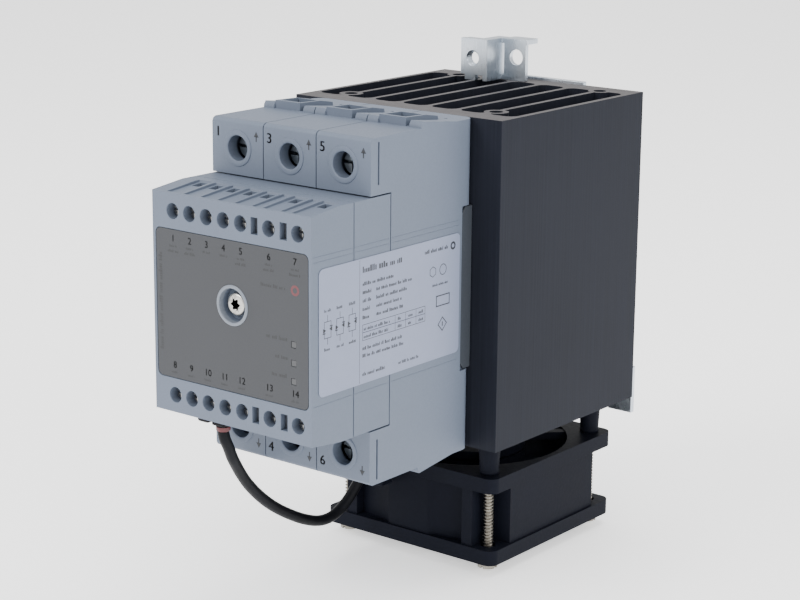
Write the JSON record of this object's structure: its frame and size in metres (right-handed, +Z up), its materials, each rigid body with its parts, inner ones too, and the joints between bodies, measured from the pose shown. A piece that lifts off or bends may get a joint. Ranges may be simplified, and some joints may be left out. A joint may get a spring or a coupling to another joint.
{
  "type": "solid state relay",
  "caption": "Three-pole solid state relay with a clip-on control module, screw clamp terminals, a finned black heatsink and a cooling fan underneath",
  "frame": {"origin": "centre of the 35 mm mounting rail, on the rear bearing face of the mounting plate", "axes": "+X right seen from the front, +Y into the wall, +Z up"},
  "size_m": [0.0706, 0.1392, 0.1405],
  "materials": {
    "grey_plastic": "light bluish grey moulded, fine spark-eroded grain",
    "face_grey": "printed mid grey film, satin",
    "label_white": "pale self-adhesive film, satin",
    "anodised_black": "black anodised extrusion with die lines, sawn ends greyer",
    "black_plastic": "black glass-filled moulded",
    "cable_black": "black soft sheath",
    "zinc": "bright zinc plated sheet",
    "screw_steel": "plated steel",
    "spring_steel": "drawn wire",
    "copper": "tinned copper and enamelled windings",
    "board_green": "glass epoxy board with solder resist",
    "clear_plastic": "frosted light pipe",
    "clip_grey": "darker grey moulded"
  },
  "bodies": {
    "relay": {"cable_grommet": "black_plastic", "controller_board": "board_green", "controller_face": "face_grey", "controller_front": "grey_plastic", "controller_rear": "grey_plastic", "earth_bracket": "zinc", "fan_cable": "cable_black", "fan_frame": "black_plastic", "fan_plug": "cable_black", "fan_screw_1": "screw_steel", "fan_screw_2": "screw_steel", "fan_screw_3": "screw_steel", "fan_screw_4": "screw_steel", "fan_spacer_1": "black_plastic", "fan_spacer_2": "black_plastic", "fan_spacer_3": "black_plastic", "fan_spacer_4": "black_plastic", "fan_stator": "copper", "heatsink": "anodised_black", "latch_spring": "spring_steel", "light_pipe": "clear_plastic", "mounting_plate": "zinc", "pole_housing_1": "grey_plastic", "pole_housing_2": "grey_plastic", "pole_housing_3": "grey_plastic", "power_module_1": "copper", "power_module_2": "copper", "power_module_3": "copper", "rating_label": "label_white", "side_clip_left": "clip_grey", "side_clip_right": "clip_grey"},
    "fan_impeller": {"fan_rotor": "black_plastic"},
    "rail_latch": {"mounting_latch": "zinc"},
    "line_screw_1_body": {"line_screw_1": "screw_steel"},
    "line_clamp_1_body": {"line_clamp_1": "zinc"},
    "line_screw_2_body": {"line_screw_2": "screw_steel"},
    "line_clamp_2_body": {"line_clamp_2": "zinc"},
    "line_screw_3_body": {"line_screw_3": "screw_steel"},
    "line_clamp_3_body": {"line_clamp_3": "zinc"},
    "load_screw_1_body": {"load_screw_1": "screw_steel"},
    "load_clamp_1_body": {"load_clamp_1": "zinc"},
    "load_screw_2_body": {"load_screw_2": "screw_steel"},
    "load_clamp_2_body": {"load_clamp_2": "zinc"},
    "load_screw_3_body": {"load_screw_3": "screw_steel"},
    "load_clamp_3_body": {"load_clamp_3": "zinc"},
    "module_screw_body": {"module_screw": "screw_steel"},
    "upper_screw_1_body": {"upper_screw_1": "screw_steel"},
    "upper_screw_2_body": {"upper_screw_2": "screw_steel"},
    "upper_screw_3_body": {"upper_screw_3": "screw_steel"},
    "upper_screw_4_body": {"upper_screw_4": "screw_steel"},
    "upper_screw_5_body": {"upper_screw_5": "screw_steel"},
    "upper_screw_6_body": {"upper_screw_6": "screw_steel"},
    "upper_screw_7_body": {"upper_screw_7": "screw_steel"},
    "lower_screw_1_body": {"lower_screw_1": "screw_steel"},
    "lower_screw_2_body": {"lower_screw_2": "screw_steel"},
    "lower_screw_3_body": {"lower_screw_3": "screw_steel"},
    "lower_screw_4_body": {"lower_screw_4": "screw_steel"},
    "lower_screw_5_body": {"lower_screw_5": "screw_steel"},
    "lower_screw_6_body": {"lower_screw_6": "screw_steel"},
    "lower_screw_7_body": {"lower_screw_7": "screw_steel"}
  },
  "joints": [
    {"name": "fan_spin", "type": "hinge", "parent": "relay", "child": "fan_impeller", "pos_m": [0, -0.0337, -0.07], "axis": [0, 0, 1], "continuous": true},
    {"name": "latch_pull", "type": "slide", "parent": "relay", "child": "rail_latch", "axis": [0, 0, -1], "range_m": [0, 0.0045], "stiffness_N_per_m": 600, "springref_m": -0.003, "deforming": ["latch_spring"]},
    {"name": "line_screw_1_turn", "type": "hinge", "parent": "relay", "child": "line_screw_1_body", "pos_m": [-0.0178, -0.1094, 0.0375], "axis": [0, 1, 0], "range_deg": [0, 2160]},
    {"name": "line_clamp_1_close", "type": "slide", "parent": "relay", "child": "line_clamp_1_body", "axis": [0, -1, 0], "range_m": [0, 0.0041]},
    {"name": "line_screw_2_turn", "type": "hinge", "parent": "relay", "child": "line_screw_2_body", "pos_m": [0, -0.1094, 0.0375], "axis": [0, 1, 0], "range_deg": [0, 2160]},
    {"name": "line_clamp_2_close", "type": "slide", "parent": "relay", "child": "line_clamp_2_body", "axis": [0, -1, 0], "range_m": [0, 0.0041]},
    {"name": "line_screw_3_turn", "type": "hinge", "parent": "relay", "child": "line_screw_3_body", "pos_m": [0.0178, -0.1094, 0.0375], "axis": [0, 1, 0], "range_deg": [0, 2160]},
    {"name": "line_clamp_3_close", "type": "slide", "parent": "relay", "child": "line_clamp_3_body", "axis": [0, -1, 0], "range_m": [0, 0.0041]},
    {"name": "load_screw_1_turn", "type": "hinge", "parent": "relay", "child": "load_screw_1_body", "pos_m": [-0.0178, -0.1094, -0.0375], "axis": [0, 1, 0], "range_deg": [0, 2160]},
    {"name": "load_clamp_1_close", "type": "slide", "parent": "relay", "child": "load_clamp_1_body", "axis": [0, -1, 0], "range_m": [0, 0.0041]},
    {"name": "load_screw_2_turn", "type": "hinge", "parent": "relay", "child": "load_screw_2_body", "pos_m": [0, -0.1094, -0.0375], "axis": [0, 1, 0], "range_deg": [0, 2160]},
    {"name": "load_clamp_2_close", "type": "slide", "parent": "relay", "child": "load_clamp_2_body", "axis": [0, -1, 0], "range_m": [0, 0.0041]},
    {"name": "load_screw_3_turn", "type": "hinge", "parent": "relay", "child": "load_screw_3_body", "pos_m": [0.0178, -0.1094, -0.0375], "axis": [0, 1, 0], "range_deg": [0, 2160]},
    {"name": "load_clamp_3_close", "type": "slide", "parent": "relay", "child": "load_clamp_3_body", "axis": [0, -1, 0], "range_m": [0, 0.0041]},
    {"name": "module_screw_turn", "type": "hinge", "parent": "relay", "child": "module_screw_body", "pos_m": [0.0006, -0.1346, 0.0029], "axis": [0, 1, 0], "range_deg": [-1440, 0]},
    {"name": "upper_screw_1_turn", "type": "hinge", "parent": "relay", "child": "upper_screw_1_body", "pos_m": [-0.0196, -0.1334, 0.0242], "axis": [0, 1, 0], "range_deg": [-1440, 0]},
    {"name": "upper_screw_2_turn", "type": "hinge", "parent": "relay", "child": "upper_screw_2_body", "pos_m": [-0.0138, -0.1334, 0.0242], "axis": [0, 1, 0], "range_deg": [-1440, 0]},
    {"name": "upper_screw_3_turn", "type": "hinge", "parent": "relay", "child": "upper_screw_3_body", "pos_m": [-0.008, -0.1334, 0.0242], "axis": [0, 1, 0], "range_deg": [-1440, 0]},
    {"name": "upper_screw_4_turn", "type": "hinge", "parent": "relay", "child": "upper_screw_4_body", "pos_m": [-0.0022, -0.1334, 0.0242], "axis": [0, 1, 0], "range_deg": [-1440, 0]},
    {"name": "upper_screw_5_turn", "type": "hinge", "parent": "relay", "child": "upper_screw_5_body", "pos_m": [0.0036, -0.1334, 0.0242], "axis": [0, 1, 0], "range_deg": [-1440, 0]},
    {"name": "upper_screw_6_turn", "type": "hinge", "parent": "relay", "child": "upper_screw_6_body", "pos_m": [0.0129, -0.1334, 0.0242], "axis": [0, 1, 0], "range_deg": [-1440, 0]},
    {"name": "upper_screw_7_turn", "type": "hinge", "parent": "relay", "child": "upper_screw_7_body", "pos_m": [0.0223, -0.1334, 0.0242], "axis": [0, 1, 0], "range_deg": [-1440, 0]},
    {"name": "lower_screw_1_turn", "type": "hinge", "parent": "relay", "child": "lower_screw_1_body", "pos_m": [-0.0196, -0.1334, -0.0242], "axis": [0, 1, 0], "range_deg": [-1440, 0]},
    {"name": "lower_screw_2_turn", "type": "hinge", "parent": "relay", "child": "lower_screw_2_body", "pos_m": [-0.0138, -0.1334, -0.0242], "axis": [0, 1, 0], "range_deg": [-1440, 0]},
    {"name": "lower_screw_3_turn", "type": "hinge", "parent": "relay", "child": "lower_screw_3_body", "pos_m": [-0.008, -0.1334, -0.0242], "axis": [0, 1, 0], "range_deg": [-1440, 0]},
    {"name": "lower_screw_4_turn", "type": "hinge", "parent": "relay", "child": "lower_screw_4_body", "pos_m": [-0.0022, -0.1334, -0.0242], "axis": [0, 1, 0], "range_deg": [-1440, 0]},
    {"name": "lower_screw_5_turn", "type": "hinge", "parent": "relay", "child": "lower_screw_5_body", "pos_m": [0.0036, -0.1334, -0.0242], "axis": [0, 1, 0], "range_deg": [-1440, 0]},
    {"name": "lower_screw_6_turn", "type": "hinge", "parent": "relay", "child": "lower_screw_6_body", "pos_m": [0.0129, -0.1334, -0.0242], "axis": [0, 1, 0], "range_deg": [-1440, 0]},
    {"name": "lower_screw_7_turn", "type": "hinge", "parent": "relay", "child": "lower_screw_7_body", "pos_m": [0.0223, -0.1334, -0.0242], "axis": [0, 1, 0], "range_deg": [-1440, 0]}
  ],
  "couplings": [
    {"joint": "line_screw_1_turn", "follows": "line_clamp_1_close", "rad_per_m": 8976},
    {"joint": "line_screw_2_turn", "follows": "line_clamp_2_close", "rad_per_m": 8976},
    {"joint": "line_screw_3_turn", "follows": "line_clamp_3_close", "rad_per_m": 8976},
    {"joint": "load_screw_1_turn", "follows": "load_clamp_1_close", "rad_per_m": 8976},
    {"joint": "load_screw_2_turn", "follows": "load_clamp_2_close", "rad_per_m": 8976},
    {"joint": "load_screw_3_turn", "follows": "load_clamp_3_close", "rad_per_m": 8976}
  ]
}
